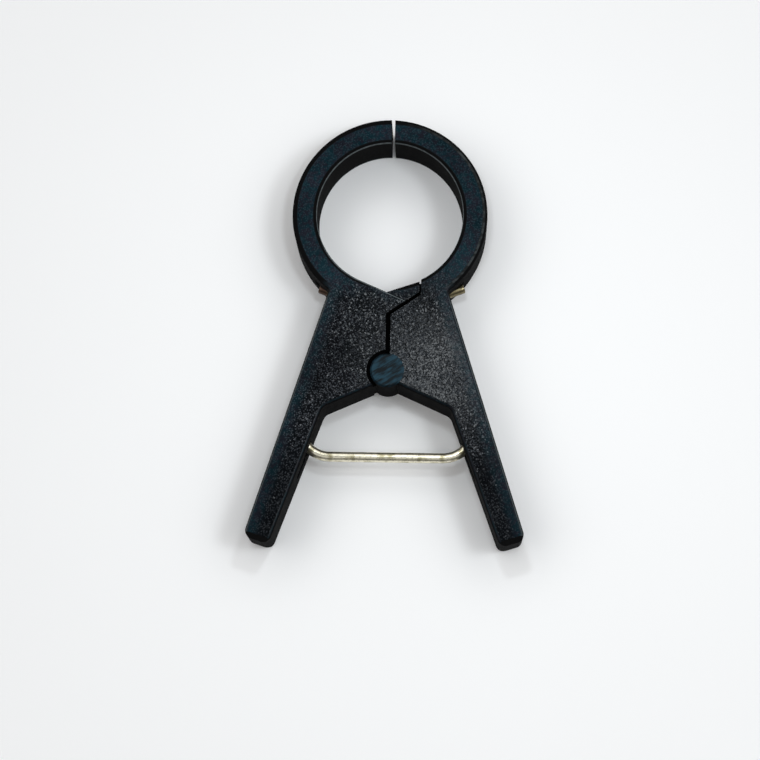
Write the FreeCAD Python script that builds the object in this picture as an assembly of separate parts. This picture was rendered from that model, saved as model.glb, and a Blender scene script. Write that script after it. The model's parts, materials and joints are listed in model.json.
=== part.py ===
"""Spring clamp for round tube: two moulded jaws that turn on a knuckle, shut by one bent wire.

The clamp lies on its back face. X runs across it, Y from the handles to the ring, Z through its
thickness. The origin is the middle of the tube grip, on the back face. Sizes are in millimetres.
The right jaw has side +1 and carries the knuckle's boss, the left jaw has side -1 and its socket.
"""
import FreeCAD, Part
import math
import os

os.makedirs("parts", exist_ok=True)

V = FreeCAD.Vector

# Ring and body
thickness = 8.6
bore_r = 10.9                # each half ring is moulded to grip a 22 mm tube
ring_r = 14.5
ring_shift = 0.08            # each half is struck past the middle, so the empty clamp shuts tighter
slit_x = 0.3                 # the slit at the top of the ring stands off the middle
slit_gap = 0.5

# Handles
waist = V(8.78, -11.48, 0)   # where the ring's outside meets the handle's outside
waist_r = 0.5
handle_lean = 17.7           # degrees from the middle line
handle_length = 38.3         # along the outside, from the waist to the tip
tip_width = 3.9
tip_corner_r = 1.2
tip_bevel_length = 0.75      # the ends are bevelled towards both faces
tip_bevel_depth = 1.0
crotch = V(9.35, -29.0, 0)   # where the handle's inside meets the underside of the body
crotch_r = 1.6
underside_fall = 24.0        # degrees, from the knuckle down to the crotch

# Long edges: rounded on the front face, and lightly bevelled on the back face
edge_round = 0.5
bore_round = 0.35
back_bevel = 0.3

# Knuckle
pivot = V(0, -23.45, 0)
boss_r = 2.5
boss_bevel = 0.25
socket_play = 0.06           # radial running clearance
socket_mouth_r = 3.05        # the socket opens out to this at both faces
socket_mouth_depth = 1.5

# Parting line: up from the knuckle, along the nose, and up again into the bore
part_x = 0.03
part_gap = 0.7
nose_line = V(2.7, -13.23, 0)    # a point in the middle of the gap along the nose
nose_rise = 34.3
nose_gap = 0.55
mouth_x = 4.72
mouth_gap = 0.1

# Nose of the left jaw: it leaves the bore as a tangent, and a thinner tongue bridges the rest
nose_fall = 23.6             # degrees below level
tongue_rise = 18.8           # degrees above level, along the tongue's top
tongue_recess = 1.0          # from either face back to the tongue
tongue_gap = 0.7             # from the tongue's lower side to the right jaw
tongue_end_gap = 0.25        # from the tongue's end to the right jaw
inside_nose = V(-1.0, -14.0, 0)  # well inside the nose, where tongue and flange are rooted

# Flange of the left jaw, in a groove of the right jaw: it keeps the jaws level with each other
flange_recess = 2.6          # from either face back to the flange
flange_reach = 0.6           # past the right jaw's edge
flange_play = 0.12
flange_foot_y = -20.2

# Wire spring
wire_d = 1.5
bar_y = -35.7                # cross bar between the handles
bar_half = 8.3               # from its middle to where it bends up
bar_bend_r = 4.5
bar_end = V(bar_half, bar_y, 0)
bar_bend_centre = bar_end + V(0, bar_bend_r, 0)
hook_corner = V(7.3, -11.55, 0)  # where the line of the arm meets the line of the hook
hook_rise = 20.6
hook_bend_r = 1.5
right_hook_end_x = 11.1      # the wire is bent by machine, and its two ends aren't quite alike
left_hook_end_x = 10.35
wire_end_bevel = 0.15

# Slot for the wire in each jaw, open to the outside
slot_width = 2.0
slot_play = 0.1              # between the wire and the walls of the slot that it bears on
slot_low_y = -39.0           # leaves the cross bar room to slide down as the jaws open

big = 60.0                   # longer than the clamp, for cutting tools
overlap = 1.0                # how far a cutting tool runs past a face
tolerance = 0.01             # for finding edges by where they lie


def direction(degrees):
    """Unit vector in the plane of the clamp."""
    a = math.radians(degrees)
    return V(math.cos(a), math.sin(a), 0)


def left_of(d):
    """The direction d turned a quarter turn to the left."""
    return V(-d.y, d.x, 0)


def mirrored(p, side):
    return V(p.x * side, p.y, p.z)


def meet(p, d, q, e):
    """Point where the line through p along d crosses the line through q along e."""
    along = ((q.x - p.x) * e.y - (q.y - p.y) * e.x) / (d.x * e.y - d.y * e.x)
    return p + d * along


def on_circle(centre, radius, x, half):
    """Point of a circle at a given x: half is +1 for its upper half and -1 for its lower."""
    return V(x, centre.y + half * math.sqrt(radius ** 2 - (x - centre.x) ** 2), 0)


def arc(start, end, centre, radius, towards):
    """Arc of a circle from start to end, round the side that the direction towards points at."""
    return Part.Arc(start, centre + towards * radius, end).toShape()


def bend(start, end, centre, radius):
    """Arc of less than half a turn from start to end."""
    towards = (start + end - centre * 2).normalize()
    return arc(start, end, centre, radius, towards)


def straight(*points):
    return [Part.LineSegment(a, b).toShape() for a, b in zip(points, points[1:])]


def plate(edges, z0=0.0, z1=thickness):
    """Flat piece with the given outline, between two heights."""
    solid = Part.Face(Part.Wire(edges)).extrude(V(0, 0, z1 - z0))
    solid.translate(V(0, 0, z0))
    return solid


def polygon(points, z0, z1):
    return plate(straight(*points, points[0]), z0, z1)


def upright_edge(solid, p):
    """The solid's upright edge that stands nearest to the point p."""
    def gap(edge):
        q = edge.Vertexes[0].Point
        return math.hypot(q.x - p.x, q.y - p.y)
    upright = [e for e in solid.Edges if e.BoundBox.DiagonalLength - e.BoundBox.ZLength < tolerance]
    return min(upright, key=gap)


def level_edges(solid, wanted):
    """The solid's edges that run level and whose middle point passes the test."""
    level = [e for e in solid.Edges if e.BoundBox.ZLength < tolerance]
    return [e for e in level if wanted(e.valueAt((e.FirstParameter + e.LastParameter) / 2))]


def ring_centre(side):
    return V(-side * ring_shift, 0, 0)


def handle_line(side):
    """A point and the direction of the handle's outside, towards its tip."""
    return mirrored(waist, side), mirrored(direction(handle_lean - 90), side)


def tip_corners(side):
    """Outer and inner corner of the handle's end, before they are rounded."""
    start, down = handle_line(side)
    outer = start + down * handle_length
    return outer, outer - left_of(down) * (side * tip_width)


def parting_edge(side):
    """This jaw's edge of the parting line: its points from the bore down to the body's underside."""
    up = V(0, 1, 0)
    rise = direction(nose_rise)
    low = V(part_x + side * part_gap / 2, 0, 0)
    high = V(mouth_x + side * mouth_gap / 2, 0, 0)
    nose = nose_line - left_of(rise) * (side * nose_gap / 2)
    underside = mirrored(direction(-underside_fall), side)
    return [on_circle(ring_centre(side), bore_r, high.x, -1), meet(high, up, nose, rise),
            meet(low, up, nose, rise), meet(low, up, mirrored(crotch, side), underside)]


def nose_fall_line():
    """Start and direction of the nose's top, which leaves the left half of the bore as its tangent."""
    fall = direction(-nose_fall)
    return ring_centre(-1) - left_of(fall) * bore_r, fall


def face_outline_points(side):
    """The parting edge as it is on the faces, where the left jaw stops at the line of its nose."""
    points = parting_edge(side)
    if side < 0:
        root, fall = nose_fall_line()
        points = [root, meet(root, fall, points[1], direction(nose_rise)), *points[2:]]
    return points


def jaw_plate(side):
    """Half ring, body and handle in one outline, with its upright corners rounded."""
    centre = ring_centre(side)
    outwards = V(side, 0, 0)
    slit_face = slit_x + side * slit_gap / 2
    outer_top = on_circle(centre, ring_r, slit_face, 1)
    inner_top = on_circle(centre, bore_r, slit_face, 1)
    neck = on_circle(centre, ring_r, side * waist.x, -1)
    tip_outer, tip_inner = tip_corners(side)
    fork = mirrored(crotch, side)
    parting = face_outline_points(side)

    edges = [arc(outer_top, neck, centre, ring_r, outwards)]
    edges += straight(neck, tip_outer, tip_inner, fork, *reversed(parting))
    edges.append(arc(parting[0], inner_top, centre, bore_r, outwards))
    edges += straight(inner_top, outer_top)
    solid = plate(edges)
    for corner, radius in ((neck, waist_r), (tip_outer, tip_corner_r), (tip_inner, tip_corner_r),
                           (fork, crotch_r)):
        solid = solid.makeFillet(radius, [upright_edge(solid, corner)])
    return solid


def with_soft_edges(solid, side):
    """Rounds or bevels the long edges that a hand and the tube meet, but not those of the partings."""
    centre_x = ring_centre(side).x
    underside_y = parting_edge(side)[-1].y

    def on_bore(p):
        return abs(math.hypot(p.x - centre_x, p.y) - bore_r) < tolerance

    def on_outside(p):
        on_slit = abs(p.x - slit_x) < slit_gap and p.y > 0
        on_parting = abs(p.x) < mouth_x + mouth_gap and underside_y < p.y < 0
        on_grip = math.hypot(p.x - centre_x, p.y) < bore_r + bore_round + tolerance
        return not (on_slit or on_parting or on_grip)

    def on_front(p):
        return p.z > thickness / 2

    back_edges = level_edges(solid, lambda p: not on_front(p) and (on_bore(p) or on_outside(p)))
    solid = solid.makeChamfer(back_bevel, back_edges)
    solid = solid.makeFillet(bore_round, level_edges(solid, lambda p: on_front(p) and on_bore(p)))
    return solid.makeFillet(edge_round, level_edges(solid, lambda p: on_front(p) and on_outside(p)))


def with_bevelled_tip(solid, side):
    """Bevels the end of the handle towards both faces."""
    outer, inner = tip_corners(side)
    down = handle_line(side)[1]
    along = (outer - inner).normalize()
    start = inner - along * (big / 2)
    for face_z, inwards in ((thickness, -1), (0.0, 1)):
        a = start - down * tip_bevel_length + V(0, 0, face_z)
        b = start + V(0, 0, face_z + inwards * tip_bevel_depth)
        slope = (b - a).normalize()
        a, b = a - slope * overlap, b + slope * overlap
        clear = down * (2 * overlap) - V(0, 0, inwards * 2 * overlap)
        wedge = Part.Face(Part.makePolygon([a, b, b + clear, a + clear, a]))
        solid = solid.cut(wedge.extrude(along * big))
    return solid


def with_boss(solid):
    """Adds the knuckle's boss, whose ends are flush with the faces and lightly bevelled."""
    boss = Part.makeCylinder(boss_r, thickness, pivot)
    rims = level_edges(boss, lambda p: True)
    return solid.fuse(boss.makeChamfer(boss_bevel, rims))


def with_socket(solid):
    """Cuts the socket that wraps the boss, with a wider mouth at each face."""
    mouth = Part.makeCylinder(socket_mouth_r, socket_mouth_depth + overlap, pivot - V(0, 0, overlap))
    other = mouth.translated(V(0, 0, thickness - socket_mouth_depth + overlap))
    bearing = Part.makeCylinder(boss_r + socket_play, thickness, pivot)
    return solid.cut(bearing).cut(mouth).cut(other)


def tongue_top():
    """Start and direction of the tongue's top, from the valley beside the nose up to the bore."""
    root, fall = nose_fall_line()
    rise = direction(tongue_rise)
    return meet(root, fall, parting_edge(-1)[0], rise), rise


def past_right_edge(along_nose, at_mouth):
    """Lines along the nose and up the mouth, so far past the right jaw's edge: a point of each."""
    high_corner = parting_edge(1)[1]
    return (high_corner - left_of(direction(nose_rise)) * along_nose,
            high_corner + V(at_mouth, 0, 0))


def with_tongue(solid):
    """Adds the tongue, which bridges from the nose almost to the other jaw under the ring."""
    up = V(0, 1, 0)
    valley, top = tongue_top()
    nose, mouth = past_right_edge(-tongue_gap, -tongue_end_gap)
    root, fall = nose_fall_line()
    outline = [valley, meet(valley, top, mouth, up), meet(nose, direction(nose_rise), mouth, up),
               meet(root, fall, nose, direction(nose_rise)), inside_nose]
    return solid.fuse(polygon(outline, tongue_recess, thickness - tongue_recess))


def flange_corners(reach):
    """The flange's corners on its far side, from the bore down to its foot."""
    up = V(0, 1, 0)
    rise = direction(nose_rise)
    valley, top = tongue_top()
    nose, mouth = past_right_edge(reach, reach)
    low = meet(parting_edge(1)[2] + V(reach, 0, 0), up, nose, rise)
    return [meet(valley, top, mouth, up), meet(nose, rise, mouth, up), low, V(low.x, flange_foot_y, 0)]


def with_flange(solid):
    """Adds the flange along the parting, at half thickness."""
    foot = V(inside_nose.x, flange_foot_y, 0)
    outline = [tongue_top()[0], *flange_corners(flange_reach), foot, inside_nose]
    return solid.fuse(polygon(outline, flange_recess, thickness - flange_recess))


def with_groove(solid):
    """Cuts the groove that the flange runs in. It is open towards the left jaw and to the bore."""
    top, high, low, foot = flange_corners(flange_reach + flange_play)
    foot = foot - V(0, flange_play, 0)
    top = top + V(0, overlap, 0)
    clear_x = inside_nose.x
    outline = [top, high, low, foot, V(clear_x, foot.y, 0), V(clear_x, top.y, 0)]
    recess = flange_recess - flange_play
    return solid.cut(polygon(outline, recess, thickness - recess))


def arm_line():
    """Start and direction of the right arm's middle line, which leaves the bend as its tangent."""
    rel = hook_corner - bar_bend_centre
    lean = math.degrees(math.atan2(rel.y, rel.x) + math.asin(bar_bend_r / rel.Length))
    return bar_bend_centre - left_of(direction(lean)) * bar_bend_r, direction(lean)


def arm_and_hook(hook_end_x):
    """Middle line of the wire's right side, from the end of the cross bar to the end of the hook."""
    arm_start, arm = arm_line()
    hook = direction(hook_rise)
    setback = hook_bend_r * math.tan(arm.getAngle(hook) / 2)
    hook_bend_start = hook_corner - arm * setback
    hook_bend_end = hook_corner + hook * setback
    hook_bend_centre = hook_bend_start - left_of(arm) * hook_bend_r
    hook_end = hook_bend_end + hook * ((hook_end_x - hook_bend_end.x) / hook.x)
    return [bend(bar_end, arm_start, bar_bend_centre, bar_bend_r),
            *straight(arm_start, hook_bend_start),
            bend(hook_bend_start, hook_bend_end, hook_bend_centre, hook_bend_r),
            *straight(hook_bend_end, hook_end)]


def wire_path():
    """Middle line of the wire: the cross bar, and at each of its ends a bend, an arm and a hook."""
    right = arm_and_hook(right_hook_end_x)
    left = [edge.mirror(V(0, 0, 0), V(1, 0, 0)) for edge in arm_and_hook(left_hook_end_x)]
    bar = straight(mirrored(bar_end, -1), bar_end)
    return Part.Wire(Part.sortEdges([*left, *bar, *right])[0])


def wire_spring():
    """The wire swept along its path at half the clamp's thickness, its cut ends lightly bevelled."""
    path = wire_path().translated(V(0, 0, thickness / 2))
    start = path.OrderedEdges[0]
    section = Part.makeCircle(wire_d / 2, start.valueAt(start.FirstParameter),
                              start.tangentAt(start.FirstParameter))
    wire = path.makePipeShell([Part.Wire(section)], True, False)
    flat_ends = [face for face in wire.Faces if isinstance(face.Surface, Part.Plane)]
    return wire.makeChamfer(wire_end_bevel, [face.Edges[0] for face in flat_ends]).Solids[0]


def slot_cutter(side):
    """Everything outside the wire, at half thickness. A saddle is left, which the wire bends round."""
    arm_start, arm = arm_line()
    hook = direction(hook_rise)
    reach = wire_d / 2 + slot_play
    saddle_r = bar_bend_r - reach
    floor_low = arm_start + left_of(arm) * reach
    floor_high = meet(floor_low, arm, hook_corner + left_of(hook) * reach, hook)
    lip = floor_high + hook * big
    saddle_end = bar_bend_centre - V(0, saddle_r, 0)
    corners = [mirrored(p, side) for p in (floor_low, floor_high, lip, V(lip.x, slot_low_y, 0),
                                           V(saddle_end.x, slot_low_y, 0), saddle_end)]
    saddle = bend(corners[-1], corners[0], mirrored(bar_bend_centre, side), saddle_r)
    edges = [*straight(*corners), saddle]
    return plate(edges, (thickness - slot_width) / 2, (thickness + slot_width) / 2)


def jaw(side):
    solid = with_bevelled_tip(with_soft_edges(jaw_plate(side), side), side)
    solid = with_boss(with_groove(solid)) if side > 0 else with_flange(with_tongue(with_socket(solid)))
    return solid.cut(slot_cutter(side)).removeSplitter().Solids[0]


pieces = {"right_jaw": jaw(1), "left_jaw": jaw(-1), "wire_spring": wire_spring()}
for name, solid in pieces.items():
    box = solid.BoundBox
    print(name, solid.ShapeType, solid.isValid(), round(solid.Volume, 1), len(solid.Faces),
          [round(v, 2) for v in (box.XMin, box.XMax, box.YMin, box.YMax, box.ZMin, box.ZMax)])
    solid.exportStep("parts/" + name + ".step")
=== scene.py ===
# %% [markdown]
# # The looks of a small spring clamp
#
# The clamp is three pieces: two black moulded jaws that turn on each other, and one bent wire
# that shuts them. The imported model gives their true shapes, so this lesson adds what a
# mould and a wire mill leave behind: grain, polish and drawn metal, and builds the wire anew in two halves.
#
# The imported model comes first, because every later step measures itself against it. Nothing in
# it is moved or reshaped.

# %% Load the imported clamp
import json
import math
import bmesh
import bpy
from mathutils import Matrix, Vector


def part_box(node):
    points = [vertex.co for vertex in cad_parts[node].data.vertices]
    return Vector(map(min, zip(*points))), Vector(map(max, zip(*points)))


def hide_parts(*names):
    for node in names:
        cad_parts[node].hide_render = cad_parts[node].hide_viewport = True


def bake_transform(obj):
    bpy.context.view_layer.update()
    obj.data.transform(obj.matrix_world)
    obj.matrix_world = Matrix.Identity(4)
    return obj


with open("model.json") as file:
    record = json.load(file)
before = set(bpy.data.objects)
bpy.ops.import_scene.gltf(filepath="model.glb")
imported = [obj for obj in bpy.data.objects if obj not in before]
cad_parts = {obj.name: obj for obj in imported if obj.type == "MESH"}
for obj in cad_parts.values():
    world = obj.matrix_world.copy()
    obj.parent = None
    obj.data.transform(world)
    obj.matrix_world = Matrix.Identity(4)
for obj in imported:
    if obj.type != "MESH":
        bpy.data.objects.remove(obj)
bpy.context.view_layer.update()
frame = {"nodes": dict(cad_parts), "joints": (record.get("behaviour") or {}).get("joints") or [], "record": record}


# %% Measures that several steps share
mm = 0.001
jaw_low, jaw_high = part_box("right_jaw")
wire_low, wire_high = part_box("wire_spring")
thickness = jaw_high.z - jaw_low.z
wire_radius = (wire_high.z - wire_low.z) / 2
mid_height = (wire_high.z + wire_low.z) / 2
pivot = Vector(frame["joints"][0]["pos_m"])
bore_radius = frame["record"]["mounts"][0]["dims"]["r_mm"] * mm
print("thickness", thickness, "wire radius", wire_radius, "pivot", pivot, "bore", bore_radius)

# %% [markdown]
# ## The camera
#
# The camera comes early, so that every trial picture can be laid beside the reference. It looks
# It looks almost straight down on the clamp, from a little below the handles and a little to the
# right, and the picture is turned by a degree. A long lens keeps the near and far faces nearly the
# same size, but leaves enough perspective to show the far edge of the bore.
# The three turns could be given as Euler angles. Building the camera's own axes one by one is
# easier to follow: first where its back points, then which way is right, then the small roll.

# %% Camera
camera_tilt = math.radians(10.40)
camera_side = math.radians(1.63)
camera_roll = math.radians(1.08)
camera_distance = 350 * mm
aim = Vector((-1.0 * mm, -24.94 * mm, thickness))
focal_pixels = 2400
picture_pixels = 760
sensor_width = 36
nearest_seen = 10 * mm
farthest_seen = 20


def camera_axes():
    """The camera's right, up and back, as directions in the scene."""
    back = Vector((math.sin(camera_side) * math.cos(camera_tilt), -math.sin(camera_tilt),
                   math.cos(camera_side) * math.cos(camera_tilt)))
    level = Vector((0, 1, 0)).cross(back).normalized()
    upright = back.cross(level)
    right = level * math.cos(camera_roll) + upright * math.sin(camera_roll)
    up = upright * math.cos(camera_roll) - level * math.sin(camera_roll)
    return right, up, back


camera_data = bpy.data.cameras.new("camera")
camera_data.sensor_width = sensor_width
camera_data.lens = focal_pixels / picture_pixels * sensor_width
camera_data.clip_start = nearest_seen
camera_data.clip_end = farthest_seen
camera = bpy.data.objects.new("camera", camera_data)
right, up, back = camera_axes()
turned = Matrix((right, up, back)).transposed().to_4x4()
camera.matrix_world = Matrix.Translation(aim + back * camera_distance) @ turned
bpy.context.scene.collection.objects.link(camera)
bpy.context.scene.camera = camera
print("lens in mm:", round(camera_data.lens, 2))

# %% [markdown]
# ## The wire spring
#
# The real spring is one length of round wire. A cross bar runs between the handles, an arm goes
# up inside each jaw, and a short hook at the top comes out beside the ring. When the handles
# are squeezed the arms spread and the wire bends.
#
# A curve with a round bevel would draw this in a few lines, but its ends could not be cut and
# bevelled as the real ones are. So one ring of vertices is extruded along the bar, turned
# round each bend and extruded again. Each new ring remembers how far along the wire it lies and
# which way round it faces, so that the drawn finish can follow the wire through its bends.

# %% The wire's route
bar_y = wire_low.y + wire_radius
bar_half = 8.3 * mm
bar_bend_radius = 4.5 * mm
bar_bend_centre = Vector((bar_half, bar_y + bar_bend_radius, 0))
hook_corner = Vector((7.3 * mm, -11.55 * mm, 0))
hook_rise = math.radians(20.6)
hook_bend_radius = 1.5 * mm
hook_end_x = {1: 11.1 * mm, -1: 10.35 * mm}


def arm_direction():
    """Angle of the arm's line, a tangent to the bar's bend that meets the hook's corner."""
    towards = hook_corner - bar_bend_centre
    return math.atan2(towards.y, towards.x) + math.asin(bar_bend_radius / towards.length)


arm_angle = arm_direction()
hook_turn = arm_angle - hook_rise
bend_end = Vector((math.sin(arm_angle), -math.cos(arm_angle), 0))
arm_start = bar_bend_centre + bend_end * bar_bend_radius
setback = hook_bend_radius * math.tan(hook_turn / 2)
arm_length = (hook_corner - arm_start).length - setback
print("the arm leans", round(math.degrees(arm_angle) - 90, 1), "degrees")
print("the arm's straight part in mm:", round(arm_length / mm, 2))


def hook_length(side):
    """The straight part of the hook, which is a little shorter on the left."""
    bend_end_x = hook_corner.x + math.cos(hook_rise) * setback
    return (hook_end_x[side] - bend_end_x) / math.cos(hook_rise)


# %% Growing a tube ring by ring
ring_points = 28
step_length = 0.6 * mm
bend_step = math.radians(6)


class WireEnd:
    """The open end of the tube that is being grown: its ring, and how far along the wire it is."""

    def __init__(self, start, heading):
        self.bm = bmesh.new()
        self.along = self.bm.verts.layers.float.new("along")
        self.wrap = self.bm.verts.layers.float_vector.new("wrap")
        self.place = Vector(start)
        self.heading = heading
        self.travelled = 0.0
        across = Matrix.Translation(self.place) @ Matrix.Rotation(math.radians(90), 4, "Y")
        made = bmesh.ops.create_circle(self.bm, cap_ends=False, segments=ring_points,
                                       radius=wire_radius, matrix=across)
        for vertex in made["verts"]:
            outwards = (vertex.co - self.place) / wire_radius
            vertex[self.wrap] = Vector((outwards.y, outwards.z, 0))
        self.ring = list(self.bm.edges)

    def extrude(self, length):
        """Makes the next ring on top of the last one, and gives its vertices."""
        made = bmesh.ops.extrude_edge_only(self.bm, edges=self.ring)["geom"]
        vertices = [part for part in made if isinstance(part, bmesh.types.BMVert)]
        edges = [part for part in made if isinstance(part, bmesh.types.BMEdge)]
        self.ring = [edge for edge in edges if set(edge.verts) <= set(vertices)]
        self.travelled += length
        for vertex in vertices:
            vertex[self.along] = self.travelled
        return vertices

    def go_straight(self, length):
        """Grows a straight piece in short steps."""
        steps = max(1, round(length / step_length))
        move = Vector((math.cos(self.heading), math.sin(self.heading), 0)) * (length / steps)
        for _ in range(steps):
            bmesh.ops.translate(self.bm, verts=self.extrude(length / steps), vec=move)
        self.place += move * steps

    def turn(self, angle, radius):
        """Bends the wire to the left by an angle, or to the right if it is negative."""
        steps = math.ceil(abs(angle) / bend_step)
        leftwards = Vector((-math.sin(self.heading), math.cos(self.heading), 0))
        centre = self.place + leftwards * math.copysign(radius, angle)
        one_step = Matrix.Rotation(angle / steps, 3, "Z")
        for _ in range(steps):
            vertices = self.extrude(abs(angle) * radius / steps)
            bmesh.ops.rotate(self.bm, cent=centre, matrix=one_step, verts=vertices)
            self.place = centre + one_step @ (self.place - centre)
        self.heading += angle


print("a ring has", ring_points, "points, a step is", step_length / mm, "mm")

# %% [markdown]
# The ends of the wire are cut square and then tumbled, which leaves a narrow bevel round the
# cut. The other end of each half is the middle of the cross bar, where the halves meet: it is
# closed with a flat face, so that each half is a whole solid, and its rim is marked sharp,
# so that the shading runs on from one half to the other without a dimple.
#
# The left half is made on the right and then mirrored. A mirrored mesh is inside out, so its
# faces are turned back afterwards.

# %% Half of the spring
wire_end_bevel = 0.15 * mm
bevel_steps = 2


def grow_half(side):
    """The bmesh of one half, closed at both ends, and the length of its wire."""
    end = WireEnd((0, bar_y, mid_height), 0.0)
    middle_rim = list(end.ring)
    end.go_straight(bar_half)
    end.turn(arm_angle, bar_bend_radius)
    end.go_straight(arm_length)
    end.turn(-hook_turn, hook_bend_radius)
    end.go_straight(hook_length(side))
    bmesh.ops.contextual_create(end.bm, geom=middle_rim)
    bmesh.ops.contextual_create(end.bm, geom=end.ring)
    bmesh.ops.bevel(end.bm, geom=end.ring, offset=wire_end_bevel, offset_type="OFFSET",
                    affect="EDGES", segments=bevel_steps, profile=0.5, material=-1)
    if side < 0:
        bmesh.ops.scale(end.bm, verts=end.bm.verts, vec=(-1, 1, 1))
    bmesh.ops.recalc_face_normals(end.bm, faces=end.bm.faces)
    return end.bm, end.travelled


def wire_half(name, side):
    """One half of the spring as a piece: the wall is shaded smooth, the flat ends are not."""
    bm, length = grow_half(side)
    for face in bm.faces:
        face.smooth = len(face.verts) == 4
    for edge in bm.edges:
        edge.smooth = all(face.smooth for face in edge.link_faces)
    mesh = bpy.data.meshes.new(name)
    bm.to_mesh(mesh)
    print(name, "faces", len(mesh.polygons), "wire length in mm", round(length / mm, 2),
          "volume in mm3", round(bm.calc_volume() / mm ** 3, 2))
    bm.free()
    piece = bpy.data.objects.new(name, mesh)
    bpy.context.scene.collection.objects.link(piece)
    return piece


spring_right = wire_half("wire_spring_right", 1)
spring_left = wire_half("wire_spring_left", -1)

# %% [markdown]
# ## The wire in place of the imported spring
#
# On the real clamp the cross bar stays in the middle, each hook is held by its jaw and goes with
# it, and the arm between them bends. Here the imported spring is hidden, and each half of the wire
# has its placing baked into its mesh.


def follow_jaw(piece):
    """Hides the imported spring, and bakes the half's placing into its mesh."""
    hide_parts("wire_spring")
    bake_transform(piece)


follow_jaw(spring_right)
follow_jaw(spring_left)

# %% [markdown]
# ## Small helpers for shader nodes
#
# A material is a graph. These helpers place a node, fill in its unlinked values, and link what
# should flow into it, so that each material below reads from its coordinates to its surface.
#
# Many masks are a smooth step. The ramp helper makes one that is 0 at its first limit and 1 at its
# second, whichever of them is larger. Two more numbers give it other ends than 0 and 1. Limits
# that belong together are kept under one name.

# %% Node helpers


class Graph:
    """Adds nodes to a material's or a group's node tree.

    An input goes by its label, or by its number, as in i0, where several share a label.
    """

    def __init__(self, tree):
        self.tree = tree

    def add(self, kind, settings=None, **inputs):
        """Adds a node: settings are the node's own, inputs are values or the sockets to link."""
        node = self.tree.nodes.new(kind)
        for name, value in (settings or {}).items():
            setattr(node, name, value)
        for name, value in inputs.items():
            self.feed(node, name.replace("_", " "), value)
        return node

    def feed(self, node, name, value):
        """Links a socket to an input, or gives the input a plain value."""
        by_number = name[0] == "i" and name[1:].isdigit()
        socket = node.inputs[int(name[1:]) if by_number else name]
        if isinstance(value, bpy.types.NodeSocket):
            self.tree.links.new(value, socket)
        else:
            socket.default_value = value

    def math(self, operation, a, b=0.0, clamp=False):
        node = self.add("ShaderNodeMath", {"operation": operation, "use_clamp": clamp}, i0=a, i1=b)
        return node.outputs[0]

    def vector(self, operation, a, b=(0, 0, 0)):
        node = self.add("ShaderNodeVectorMath", {"operation": operation}, i0=a, i1=b)
        return node.outputs["Value" if operation in ("LENGTH", "DOT_PRODUCT") else "Vector"]

    def scaled(self, vector, factor):
        """A direction made longer, or a colour made brighter, by a factor."""
        node = self.add("ShaderNodeVectorMath", {"operation": "SCALE"}, i0=vector, Scale=factor)
        return node.outputs["Vector"]

    def ramp(self, value, low, high, to_low=0.0, to_high=1.0):
        """Smooth step of a value, from one limit to another."""
        node = self.add("ShaderNodeMapRange", {"interpolation_type": "SMOOTHSTEP"}, Value=value,
                        From_Min=low, From_Max=high, To_Min=to_low, To_Max=to_high)
        return node.outputs["Result"]

    def noise(self, vector, scale, detail=2.0, rough=0.5):
        node = self.add("ShaderNodeTexNoise", Vector=vector, Scale=scale, Detail=detail,
                        Roughness=rough)
        return node.outputs["Fac"]

    def mix_colour(self, mask, a, b):
        node = self.add("ShaderNodeMix", {"data_type": "RGBA"}, i0=mask, i6=a, i7=b)
        return node.outputs[2]

    def mix_value(self, mask, a, b):
        node = self.add("ShaderNodeMix", {"data_type": "FLOAT"}, i0=mask, i2=a, i3=b)
        return node.outputs[0]


def new_group(name, inputs, outputs):
    """A shader node group with named sockets. Gives its tree, its graph, and its two ends."""
    tree = bpy.data.node_groups.new(name, "ShaderNodeTree")
    for label, kind, value in inputs:
        socket = tree.interface.new_socket(name=label, in_out="INPUT", socket_type=kind)
        if value is not None:
            socket.default_value = value
    for label, kind in outputs:
        tree.interface.new_socket(name=label, in_out="OUTPUT", socket_type=kind)
    graph = Graph(tree)
    return tree, graph, graph.add("NodeGroupInput").outputs, graph.add("NodeGroupOutput")


def new_material(name):
    """A material with a bare Principled shader, and its graph."""
    material = bpy.data.materials.new(name)
    material.use_nodes = True
    graph = Graph(material.node_tree)
    shader = material.node_tree.nodes["Principled BSDF"]
    return material, graph, shader


# %% [markdown]
# ## Grain from the mould
#
# The cavity of such a mould is spark eroded, which leaves tiny craters all over its flat faces.
# The plastic copies them as a field of facets about a fifth of a millimetre across. Each facet
# leans its own way, so a few mirror a lamp and glitter, and their neighbours stay black.
#
# A noise with a bump node would give rolling bumps, which glitter in long worms. Voronoi cells
# are nearer to craters: each cell has its own random colour, which serves here as the way that it
# leans. The same random colour says how far it leans and how pale it is. The paleness is a painted
# highlight, for the light that a steep facet catches from everywhere. It fades out towards the
# cell's border.
#
# This is a group, because the jaws and, more faintly, the wire both need it.

# %% Grain group
FLOAT = "NodeSocketFloat"
VECTOR = "NodeSocketVector"
middle_colour = (0.5, 0.5, 0.5)
steepest_times = 2.0
speck_chance = (0.40, 1.00)
speck_fade = (0.75, 0.25)


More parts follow.
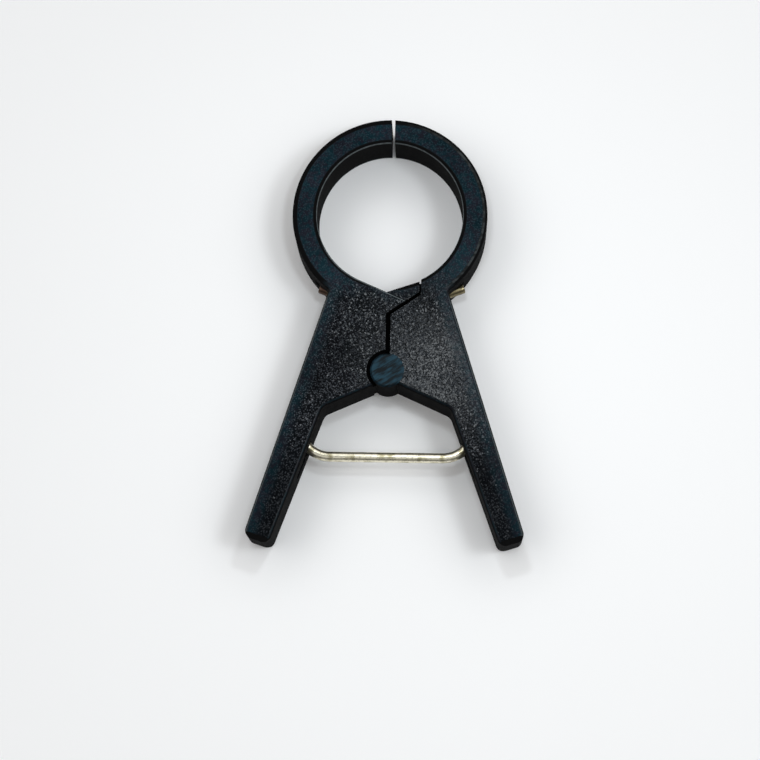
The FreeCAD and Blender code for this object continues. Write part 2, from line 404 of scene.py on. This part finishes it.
def grain_group():
    """Facets that each lean their own way: Size is their width, and Lean scales how far."""
    tree, g, source, sink = new_group(
        "moulded_grain",
        [("Vector", VECTOR, None), ("Normal", VECTOR, None), ("Size", FLOAT, 0.3), ("Lean", FLOAT, 0.1)],
        [("Normal", VECTOR), ("Specks", FLOAT)])
    scale = g.math("DIVIDE", 1.0, source["Size"])
    cells = g.add("ShaderNodeTexVoronoi", Vector=source["Vector"], Scale=scale).outputs
    way = g.vector("SUBTRACT", cells["Color"], middle_colour)
    chance = g.add("ShaderNodeSeparateColor", Color=cells["Color"]).outputs["Blue"]
    how_far = g.math("MULTIPLY", g.math("MULTIPLY", source["Lean"], steepest_times), chance)
    lean = g.scaled(way, how_far)
    # On the jaws, a speck's paleness is a painted highlight of a steep facet.
    pale = g.ramp(chance, *speck_chance)
    specks = g.math("MULTIPLY", pale, g.ramp(cells["Distance"], *speck_fade))
    g.feed(sink, "Normal", g.vector("NORMALIZE", g.vector("ADD", source["Normal"], lean)))
    g.feed(sink, "Specks", specks)
    return tree


grain = grain_group()
print("group", grain.name, [s.name for s in grain.interface.items_tree])

# %% [markdown]
# ## The jaws' plastic
#
# Both jaws are the same black plastic, a little blue. Some of what differs over them comes from
# the steel that each face was moulded against:
#
# - the body and the handles have the full grain,
# - the ring's face is smoother and bluer,
# - the walls all round are matt and quite black, and deep in the groove and the slots, in the gap
#   round the boss and on both rims of the ring that black is painted shade,
# - the end of the knuckle's boss is smooth, with slanting streaks.
#
# The rest is wear and painted light. A band along the outer edges is rubbed smooth and bluish.
# The rounded edges are painted darker, and the specks fade down the handles' lower halves: both
# are painted shade. Thin pale lines are painted highlights: round the bore, along the nose and the
# handles' outer edges, and, broken and fainter, along the right-hand rim of the ring.
#
# Each finish is a mask worked out from the clamp's own measures: how level the surface lies, a
# distance from the bore's axis, from the pivot or from the handle's outer line. A soft cloud of
# noise moves the borders a little, because neither steel nor fingers leave a ruled line. The
# masks choose between values, and one shader draws them all.
#
# The measures come first. They are worked out once, in millimetres, for all the masks to share.

# %% Measures of a point on a jaw
bore_mm = bore_radius / mm
pivot_flat = (pivot.x / mm, pivot.y / mm, 0)
outer_line_x = 8.78
outer_line_y = -11.48
handle_lean = math.radians(17.7)
border_wobble = 8.0
waist_border = (outer_line_y, outer_line_y + 1.5)


class Spot:
    """A point on a jaw, as nodes measure it. The outer line is the handle's straight outside."""

    def __init__(self, g, place, cloud):
        normal = g.add("ShaderNodeTexCoord").outputs["Normal"]
        parts = g.add("ShaderNodeSeparateXYZ", Vector=place).outputs
        self.place = place
        self.cloud = cloud
        self.x = parts["X"]
        self.y = parts["Y"]
        self.level = g.math("ABSOLUTE", g.add("ShaderNodeSeparateXYZ", Vector=normal).outputs["Z"])
        self.from_middle = g.math("ABSOLUTE", g.math("SUBTRACT", parts["Z"], mid_height / mm))
        self.wobble = g.math("MULTIPLY", g.math("SUBTRACT", cloud, 0.5), border_wobble)
        flat = g.vector("MULTIPLY", place, (1, 1, 0))
        self.from_axis = g.vector("LENGTH", flat)
        self.from_pivot = g.vector("LENGTH", g.vector("SUBTRACT", flat, pivot_flat))
        self.above_waist = g.ramp(self.y, *waist_border)
        across = g.math("SUBTRACT", outer_line_x, g.math("ABSOLUTE", self.x))
        self.down = g.math("SUBTRACT", outer_line_y, self.y)
        self.inside = g.math("ADD", g.math("MULTIPLY", across, math.cos(handle_lean)),
                             g.math("MULTIPLY", self.down, math.sin(handle_lean)))


print("bore", bore_mm, "pivot", pivot_flat, "outer line from", (outer_line_x, outer_line_y))

# %% [markdown]
# A level of 1 is a face that lies flat, and 0 is an upright wall. The rounded edges between them
# are rubbed, and so they count as smooth. What lies deep inside the slots and the groove, or down
# in the gap round the boss, counts as wall, even where it is level: its black is painted shade. So
# is the black on both rims of the ring.

# %% Smooth places and matt places
boss_radius = 2.5
boss_border = (boss_radius + 0.03, boss_radius - 0.03)
bore_rim = bore_mm + 0.35
ring_rim = jaw_high.y / mm - 0.75
edge_level = (0.985, 0.94)
wall_level = (0.78, 0.62)
deep_inside = (2.9, 2.3)
mouth_depth = (4.27, 4.15)
mouth_border = (3.3, 3.2)
bore_rim_border = (bore_rim + 0.2, bore_rim + 0.05)
ring_rim_border = (ring_rim - 0.1, ring_rim + 0.05)
ring_border_y = (-13.5, -8.0)
rub_border = (2.6, 0.8)
rub_wobble = 0.3
rub_share = 0.7


def smooth_places(g, spot, on_edge):
    """The ring, the band that is rubbed along the outer line, and every rounded edge."""
    on_ring = g.ramp(g.math("ADD", spot.y, spot.wobble), *ring_border_y)
    from_line = g.math("ADD", spot.inside, g.math("MULTIPLY", spot.wobble, rub_wobble))
    on_rub = g.math("MULTIPLY", g.ramp(from_line, *rub_border), rub_share)
    return g.math("MAXIMUM", g.math("MAXIMUM", on_ring, on_rub), on_edge)


def matt_and_shaded_places(g, spot, on_boss):
    """The matt walls, and the painted shade deep inside, in the gap round the boss and on both rims of the ring.
    """
    steep = g.ramp(spot.level, *wall_level)
    # Level faces deep inside are painted black as well: painted shade.
    on_walls_and_shade = g.math("MAXIMUM", steep, g.ramp(spot.from_middle, *deep_inside))
    sunk = g.ramp(spot.from_middle, *mouth_depth)
    in_mouth = g.math("MULTIPLY", sunk, g.ramp(spot.from_pivot, *mouth_border))
    in_mouth = g.math("MULTIPLY", in_mouth, g.math("SUBTRACT", 1.0, on_boss))
    on_walls_and_shade = g.math("MAXIMUM", on_walls_and_shade, in_mouth)
    # Both rims of the ring are painted black: painted shade.
    bore_rim_shade = g.ramp(spot.from_axis, *bore_rim_border)
    outer_rim_shade = g.ramp(spot.from_axis, *ring_rim_border)
    outer_rim_shade = g.math("MULTIPLY", outer_rim_shade, spot.above_waist)
    return g.math("MAXIMUM", on_walls_and_shade, g.math("MAXIMUM", bore_rim_shade, outer_rim_shade))


print("rims in mm from the axis: bore", round(bore_rim, 2), "outside", round(ring_rim, 2))

# %% [markdown]
# The pale lines are painted highlights. They are narrow, and each is a mask of its own. The one
# round the bore lies on the steep part of the rounding. At its lower left it is wider, and takes in
# some of the gentler part.

# %% The line round the bore
bore_line_level = (0.72, 0.60)
bore_line_height = (3.70, 3.80)
bore_line_border = (bore_rim - 0.15, bore_rim - 0.25)
low_left_y = (-4.0, -7.0)
low_left_x = (2.5, 0.5)
low_line_level = (0.72, 0.80)
low_line_border = (bore_rim + 0.2, bore_rim)


def line_at_bore(g, spot, on_shoulder):
    """On the steep part of the rounding, and at the lower left on the gentler part as well."""
    steep = g.ramp(spot.level, *bore_line_level)
    line = g.math("MULTIPLY", steep, g.ramp(spot.from_middle, *bore_line_height))
    line = g.math("MULTIPLY", line, g.ramp(spot.from_axis, *bore_line_border))
    low_left = g.math("MULTIPLY", g.ramp(spot.y, *low_left_y), g.ramp(spot.x, *low_left_x))
    gentle = g.ramp(spot.level, *low_line_level)
    low_line = g.math("MULTIPLY", gentle, g.ramp(spot.from_axis, *low_line_border))
    low_line = g.math("MULTIPLY", g.math("MULTIPLY", on_shoulder, low_line), low_left)
    return g.math("MAXIMUM", line, low_line)


print("line round the bore from", [round(v, 2) for v in bore_line_border], "mm inwards")

# %% [markdown]
# The painted highlight on the ring's right-hand rim is faint, and a noise breaks it up. It fades in
# from the top of the ring towards the right.

# %% The line on the ring's rim
rim_line = ring_rim + 0.17
rim_line_width = (0.22, 0.10)
rim_line_x = (1.0, 9.0)
rim_line_share = 0.28
break_scale = 1.1
break_limits = (0.40, 0.60, 0.4, 1.0)


def line_at_rim(g, spot):
    """Along the ring's right-hand rim, faint and broken."""
    broken = g.ramp(g.noise(spot.place, break_scale, detail=3.0), *break_limits)
    off_line = g.math("ABSOLUTE", g.math("SUBTRACT", spot.from_axis, rim_line))
    line = g.math("MULTIPLY", g.ramp(off_line, *rim_line_width), spot.above_waist)
    line = g.math("MULTIPLY", line, g.ramp(spot.x, *rim_line_x))
    return g.math("MULTIPLY", line, g.math("MULTIPLY", broken, rim_line_share))


print("line on the rim at", round(rim_line, 2), "mm from the axis")

# %% [markdown]
# The nose and the handles' outsides get a painted highlight along the shoulder of the rounded edge,
# where the surface has just begun to fall away. The nose is a straight ridge that falls to the right,
# so the distance past it is the point's place measured along the ridge's own upward direction.

# %% The lines on the nose and the handles
shoulder_level = (0.94, 0.89)
nose_fall = math.radians(23.6)
nose_up = (math.sin(nose_fall), math.cos(nose_fall), 0)
nose_line = 0.2
nose_line_width = (0.6, 0.4)
nose_line_x = (4.5, 3.5)
side_line_width = (0.7, 0.5)
side_line_down = (0.0, 2.0)
side_line_share = 0.4


def lines_at_nose_and_sides(g, spot, on_shoulder, on_walls_and_shade):
    """Along the nose, and along the outside of both handles."""
    past_nose = g.math("ADD", g.vector("DOT_PRODUCT", spot.place, nose_up), bore_mm)
    at_nose = g.ramp(g.math("ABSOLUTE", g.math("ADD", past_nose, nose_line)), *nose_line_width)
    at_nose = g.math("MULTIPLY", at_nose, g.ramp(spot.x, *nose_line_x))
    at_side = g.ramp(spot.inside, *side_line_width)
    at_side = g.math("MULTIPLY", at_side, g.ramp(spot.down, *side_line_down))
    where = g.math("MAXIMUM", at_nose, g.math("MULTIPLY", at_side, side_line_share))
    off_wall = g.math("SUBTRACT", 1.0, on_walls_and_shade)
    return g.math("MULTIPLY", on_shoulder, g.math("MULTIPLY", where, off_wall))


def painted_highlight_lines(g, spot, on_walls_and_shade):
    """All the painted highlight lines together."""
    on_shoulder = g.ramp(spot.level, *shoulder_level)
    lines = lines_at_nose_and_sides(g, spot, on_shoulder, on_walls_and_shade)
    round_ring = g.math("MAXIMUM", line_at_bore(g, spot, on_shoulder), line_at_rim(g, spot))
    return g.math("MAXIMUM", lines, round_ring)


print("the nose falls by", round(math.degrees(nose_fall), 1), "degrees")

# %% [markdown]
# Last comes the painted shade that grows down the handles, where the specks fade. Then all the
# masks are gathered under their names, ready for the grain, the colours and the gloss to choose
# from.

# %% All the masks
handle_shade_span = (12.0, 36.0)


def finish_masks(g, spot):
    """Where each finish is, from 0 to 1."""
    on_edge = g.ramp(spot.level, *edge_level)
    on_boss = g.ramp(spot.from_pivot, *boss_border)
    on_walls_and_shade = matt_and_shaded_places(g, spot, on_boss)
    return {
        "smooth": smooth_places(g, spot, on_edge),
        "edge": on_edge,
        "boss": on_boss,
        "wall_and_shade": on_walls_and_shade,
        "painted_highlight": painted_highlight_lines(g, spot, on_walls_and_shade),
        "handle_shade": g.ramp(spot.down, *handle_shade_span),
    }


# The specks fade over this span down the handles: painted shade.
print("fingers polish from", handle_shade_span[0], "to", handle_shade_span[1], "mm down the handles")

# %% [markdown]
# The grain is full on the body, weaker where the plastic is smooth, and almost gone on the boss.
# Down the handles its specks are less pale, as painted shade. The colours come in layers, each
# over the last: the ground, the specks with their painted highlights, the edges darkened as painted
# shade, the boss, the walls with the painted shade deep inside and on the rims, and the painted
# highlight lines.
#
# Black plastic mirrors very little when its surface is as broken up as this one, so the shader's
# specular level is held far below that of polished plastic.

# %% Plastic grain
cloud_scale = 0.16
grain_size = 0.18
grain_lean = 0.18
body_grain = (0.35, 0.60, 0.6, 1.15)
smooth_grain = 0.45
boss_grain = 0.1
shaded_specks = 0.4


def plastic_grain(g, spot, masks):
    """The grain's normal, and how strong its pale specks are."""
    amount = g.mix_value(masks["smooth"], g.ramp(spot.cloud, *body_grain), smooth_grain)
    amount = g.mix_value(masks["boss"], amount, boss_grain)
    lean = g.math("MULTIPLY", amount, grain_lean)
    normal = g.add("ShaderNodeNewGeometry").outputs["Normal"]
    moulded = g.add("ShaderNodeGroup", {"node_tree": grain}, Vector=spot.place, Normal=normal,
                    Size=grain_size, Lean=lean)
    specks = g.math("MULTIPLY", moulded.outputs["Specks"], amount)
    # Fewer pale specks down the handles: painted shade.
    kept = g.ramp(masks["handle_shade"], 0.0, 1.0, 1.0, shaded_specks)
    return moulded.outputs["Normal"], g.math("MULTIPLY", specks, kept)


print("grain of", grain_size, "mm, smooth places keep", smooth_grain, "of it")

# %% Plastic colours
body_black = (0.0020, 0.0027, 0.0036, 1)
ring_blue = (0.0024, 0.0145, 0.0205, 1)
ring_violet = (0.0090, 0.0098, 0.0160, 1)
highlight_pale = (0.1300, 0.1500, 0.1550, 1)
speck_highlight_grey = (0.052, 0.058, 0.066, 1)
speck_highlight_blue = (0.036, 0.064, 0.078, 1)
boss_blue = (0.0045, 0.0170, 0.0260)
wall_and_shade_black = (0.0022, 0.0022, 0.0024, 1)
mottle_scale = 1.1
mottle_limits = (0.42, 0.58)
cloud_shade = (0.30, 0.70, 0.75, 1.3)
edge_painted_shade = 0.5
streak_turn = math.radians(32)
streak_size = (1.8, 0.4, 1)
streak_shade = (0.36, 0.64, 0.25, 2.2)
highlight_least = 0.7


def boss_colour(g, spot):
    """The boss's end, with streaks that slant across it."""
    slanted = g.add("ShaderNodeMapping", {"vector_type": "TEXTURE"}, Vector=spot.place,
                    Rotation=(0, 0, streak_turn), Scale=streak_size).outputs["Vector"]
    streaks = g.ramp(g.noise(slanted, 1.0, detail=3.0), *streak_shade)
    return g.scaled(boss_blue, streaks)


def plastic_colour(g, spot, masks, specks):
    """The layers of colour, from the ground up."""
    mottle = g.noise(spot.place, mottle_scale, detail=4.0, rough=0.7)
    mottle = g.ramp(mottle, *mottle_limits)
    smooth_colour = g.mix_colour(mottle, ring_blue, ring_violet)
    colour = g.mix_colour(masks["smooth"], body_black, smooth_colour)
    colour = g.scaled(colour, g.ramp(spot.cloud, *cloud_shade))
    # Pale specks: painted highlights of the steep facets.
    colour = g.mix_colour(specks, colour, g.mix_colour(masks["smooth"], speck_highlight_grey, speck_highlight_blue))
    # Rounded edges are darkened: painted shade.
    colour = g.scaled(colour, g.ramp(masks["edge"], 0.0, 1.0, 1.0, edge_painted_shade))
    colour = g.mix_colour(masks["boss"], colour, boss_colour(g, spot))
    # Matt black walls, and painted shade deep inside, round the boss and on the ring's rims.
    colour = g.mix_colour(masks["wall_and_shade"], colour, wall_and_shade_black)
    # Pale lines: painted highlights.
    painted_highlight = g.math("MULTIPLY", masks["painted_highlight"], g.ramp(mottle, 0.0, 1.0, highlight_least, 1.0))
    return g.mix_colour(painted_highlight, colour, highlight_pale)


print("body", body_black[:3], "smooth", ring_blue[:3], "to", ring_violet[:3])

# %% Plastic material
body_rough = 0.19
smooth_rough = 0.28
cloud_rough = 0.06
boss_rough = 0.45
wall_rough = 1.0
plastic_specular = 0.095


def plastic_roughness(g, spot, masks):
    """How blurred the mirror image is: sharpest on the grain's facets, and lost on the walls."""
    roughness = g.mix_value(masks["smooth"], body_rough, smooth_rough)
    unevenness = g.math("MULTIPLY", g.math("SUBTRACT", spot.cloud, 0.5), cloud_rough)
    roughness = g.math("ADD", roughness, unevenness)
    roughness = g.mix_value(masks["boss"], roughness, boss_rough)
    return g.mix_value(masks["wall_and_shade"], roughness, wall_rough)


def plastic_material():
    """The jaws' one material."""
    material, g, shader = new_material("jaw_plastic")
    place = g.add("ShaderNodeTexCoord").outputs["Object"]
    place = g.vector("MULTIPLY", place, (1 / mm, 1 / mm, 1 / mm))
    spot = Spot(g, place, g.noise(place, cloud_scale, detail=3.0))
    masks = finish_masks(g, spot)
    normal, specks = plastic_grain(g, spot, masks)
    g.feed(shader, "Base Color", plastic_colour(g, spot, masks, specks))
    g.feed(shader, "Roughness", plastic_roughness(g, spot, masks))
    g.feed(shader, "Normal", normal)
    g.feed(shader, "Specular IOR Level", plastic_specular)
    return material


plastic = plastic_material()
print(plastic.name, "has", len(plastic.node_tree.nodes), "nodes")


# %% Plastic on the jaws
def give_material(piece, material):
    """Puts one material in every slot of a piece."""
    if not piece.data.materials:
        piece.data.materials.append(material)
    for index in range(len(piece.data.materials)):
        piece.data.materials[index] = material


for node in ("right_jaw", "left_jaw"):
    give_material(frame["nodes"][node], plastic)
print("plastic on", [n for n in frame["nodes"] if n.endswith("jaw")])

# %% [markdown]
# ## The wire's metal
#
# Spring wire is drawn through a die, which leaves fine lines along it, and here it has a thin
# zinc coat passivated to a pale yellow, with olive stains. The lines follow the wire, so they are
# a noise on the wire's own wrap and length, stretched a hundredfold along it.
#
# The hooks' ends are browner. The left end is darker still: painted shade, with a reddish painted reflection.

# %% Wire colours
wire_gold = (0.84, 0.79, 0.63, 1)
wire_olive = (0.40, 0.36, 0.22, 1)
end_brown = (0.20, 0.17, 0.10, 1)
left_end_painted_shade = (0.075, 0.048, 0.036, 1)
stain_scale = 0.7
stain_limits = (0.44, 0.68)
hook_start = (bar_half + arm_angle * bar_bend_radius + arm_length) / mm
hook_border = (hook_start, hook_start + 2.0)
left_shade_start_x = -8.5
left_shade_border_x = (left_shade_start_x, left_shade_start_x - 1.0)
print("the hook starts at", round(hook_start, 2), "mm along each half of the wire")


def wire_colour(g, stain, along_mm):
    """Yellow metal with olive stains, browner at the hooks, and painted shade at the left hook's end."""
    colour = g.mix_colour(g.ramp(stain, *stain_limits), wire_gold, wire_olive)
    at_hook = g.ramp(along_mm, *hook_border)
    colour = g.mix_colour(at_hook, colour, end_brown)
    place = g.add("ShaderNodeTexCoord").outputs["Object"]
    across = g.math("DIVIDE", g.add("ShaderNodeSeparateXYZ", Vector=place).outputs["X"], mm)
    # The left hook's end: painted shade with a reddish painted reflection.
    at_left_shade = g.math("MULTIPLY", at_hook, g.ramp(across, *left_shade_border_x))
    return g.mix_colour(at_left_shade, colour, left_end_painted_shade)


# %% Wire material
drawn_stretch = (9, 9, 0.09)
drawn_depth = 6e-6
wire_rough = 0.20
wire_rough_spread = 0.10
pit_size = 0.16
pit_lean = 0.03
pit_shade = 0.6


def wire_material():
    """The spring's one material."""
    material, g, shader = new_material("spring_wire")
    wrap = g.add("ShaderNodeAttribute", {"attribute_name": "wrap"}).outputs["Vector"]
    along = g.add("ShaderNodeAttribute", {"attribute_name": "along"}).outputs["Fac"]
    along_mm = g.math("DIVIDE", along, mm)
    place = g.vector("ADD", wrap, g.add("ShaderNodeCombineXYZ", Z=along_mm).outputs["Vector"])
    drawn = g.add("ShaderNodeMapping", Vector=place, Scale=drawn_stretch).outputs["Vector"]
    lines = g.noise(drawn, 1.0, detail=4.0, rough=0.6)
    stain = g.noise(place, stain_scale, detail=3.0)
    spread = g.math("MULTIPLY", g.math("ADD", lines, stain), wire_rough_spread)
    bump = g.add("ShaderNodeBump", Height=lines, Distance=drawn_depth, Strength=1.0)
    pits = g.add("ShaderNodeGroup", {"node_tree": grain}, Vector=place,
                 Normal=bump.outputs["Normal"], Size=pit_size, Lean=pit_lean)
    in_pits = g.ramp(pits.outputs["Specks"], 0.0, 1.0, 1.0, pit_shade)
    g.feed(shader, "Base Color", g.scaled(wire_colour(g, stain, along_mm), in_pits))
    g.feed(shader, "Metallic", 1.0)
    g.feed(shader, "Roughness", g.math("ADD", wire_rough, spread))
    g.feed(shader, "Normal", pits.outputs["Normal"])
    return material


wire_metal = wire_material()
for piece in (spring_right, spring_left, frame["nodes"]["wire_spring"]):
    give_material(piece, wire_metal)
print("wire metal on", spring_right.name, "and", spring_left.name)

# %% [markdown]
# ## Floor
#
# The clamp lies on a plain white floor. It is a wide plane, so that low views still see floor
# behind the clamp.

# %% Floor
floor_half = 1.5
floor_noise_scale = 6.0
floor_tone = (0.3, 0.7, 0.955, 0.97)
floor_rough = 0.9


def floor_paint():
    """An almost even white, fully matt."""
    material, g, shader = new_material("floor_paint")
    place = g.add("ShaderNodeTexCoord").outputs["Object"]
    tone = g.ramp(g.noise(place, floor_noise_scale), *floor_tone)
    colour = g.add("ShaderNodeCombineColor", Red=tone, Green=tone, Blue=tone).outputs["Color"]
    g.feed(shader, "Base Color", colour)
    g.feed(shader, "Roughness", floor_rough)
    g.feed(shader, "Specular IOR Level", 0.0)
    return material


def pale_floor():
    """A wide plane under the clamp, which belongs to the stage and not to the object."""
    bm = bmesh.new()
    bmesh.ops.create_grid(bm, x_segments=1, y_segments=1, size=floor_half)
    mesh = bpy.data.meshes.new("floor")
    bm.to_mesh(mesh)
    bm.free()
    floor = bpy.data.objects.new("floor", mesh)
    bpy.context.scene.collection.objects.link(floor)
    give_material(floor, floor_paint())
    print("floor", 2 * floor_half, "m wide")


pale_floor()

# %% [markdown]
# ## Light
#
# Black plastic shows little but what it mirrors, so the sky is arranged for that. The flat faces
# mirror the part of the sky straight above them, which is kept dim. Round it lies a bright band,
# like a ring of soft boxes: it lights the floor, glints on the grain, and draws a pale line along
# each rounded edge. Towards the horizon, and in front of the clamp, it is dimmer again, which
# keeps the walls dark.
#
# A small lamp hangs close above the clamp, just where the lower right of the body mirrors it. It
# makes the sheen there, the glitter of the grain and the bright line along the wire. A wider lamp,
# farther off and to the right, puts the pale line on the edges that face that way. The lamps and
# the sky together add up to about the light that a white floor needs to look white, and no more.

# %% Sky
cap_tilt = math.radians(11.5)
cap_axis = (0, math.sin(cap_tilt), math.cos(cap_tilt))
cap_limits = (0.875, 0.965)
cap_grey = 0.05
band_height = (0.45, 0.72)
band_bright = 1.75
horizon_bright = 0.44
front_limits = (-0.55, -0.05)
front_share = 0.20
backdrop_height = (0.22, 0.06)
backdrop_bright = 0.92


def studio_sky():
    """The world's light, and the plain backdrop that the camera and mirrors see low down."""
    world = bpy.data.worlds.new("studio")
    world.use_nodes = True
    bpy.context.scene.world = world
    g = Graph(world.node_tree)
    direction = g.add("ShaderNodeTexCoord").outputs["Generated"]
    parts = g.add("ShaderNodeSeparateXYZ", Vector=direction).outputs
    bright = g.ramp(parts["Z"], *band_height, horizon_bright, band_bright)
    bright = g.math("MULTIPLY", bright, g.ramp(parts["Y"], *front_limits, front_share, 1.0))
    in_cap = g.ramp(g.vector("DOT_PRODUCT", direction, cap_axis), *cap_limits)
    bright = g.mix_value(in_cap, bright, cap_grey)
    path = g.add("ShaderNodeLightPath").outputs
    seen = g.math("ADD", path["Is Camera Ray"], path["Is Glossy Ray"])
    seen = g.math("ADD", seen, path["Is Transmission Ray"], clamp=True)
    backdrop = g.math("MULTIPLY", seen, g.ramp(parts["Z"], *backdrop_height))
    bright = g.mix_value(backdrop, bright, backdrop_bright)
    background = world.node_tree.nodes["Background"]
    g.feed(background, "Strength", bright)
    g.feed(background, "Color", (1, 1, 1, 1))
    print("sky from", cap_grey, "in the cap to", band_bright, "in the band")


studio_sky()

# %% Lamps
lamp_colour = (0.90, 0.96, 1.0)
sheen_place = Vector((6.3 * mm, -23.5 * mm, thickness))
sheen_distance = 80 * mm
sheen_size = 10 * mm
sheen_watts = 0.0115
edge_place = Vector((15 * mm, -33 * mm, thickness))
edge_tilt = math.radians(28)
edge_distance = 450 * mm
edge_size = 110 * mm
edge_watts = 0.36


def round_lamp(name, place, towards, distance, size, watts):
    """A round soft lamp that hangs off a place on the clamp and shines back at it."""
    data = bpy.data.lights.new(name, "AREA")
    data.color = lamp_colour
    data.shape = "DISK"
    data.size = size
    data.energy = watts
    lamp = bpy.data.objects.new(name, data)
    lamp.location = place + towards * distance
    lamp.rotation_euler = (-towards).to_track_quat("-Z", "Y").to_euler()
    lamp.visible_camera = False
    bpy.context.scene.collection.objects.link(lamp)
    print(name, "at mm:", [round(v / mm, 1) for v in lamp.location])


to_camera = (camera.matrix_world.translation - sheen_place).normalized()
mirrored = Vector((-to_camera.x, -to_camera.y, to_camera.z))
round_lamp("sheen_lamp", sheen_place, mirrored, sheen_distance, sheen_size, sheen_watts)
to_side = Vector((math.sin(edge_tilt), 0, math.cos(edge_tilt)))
round_lamp("edge_lamp", edge_place, to_side, edge_distance, edge_size, edge_watts)
bpy.context.scene.view_settings.view_transform = "Standard"
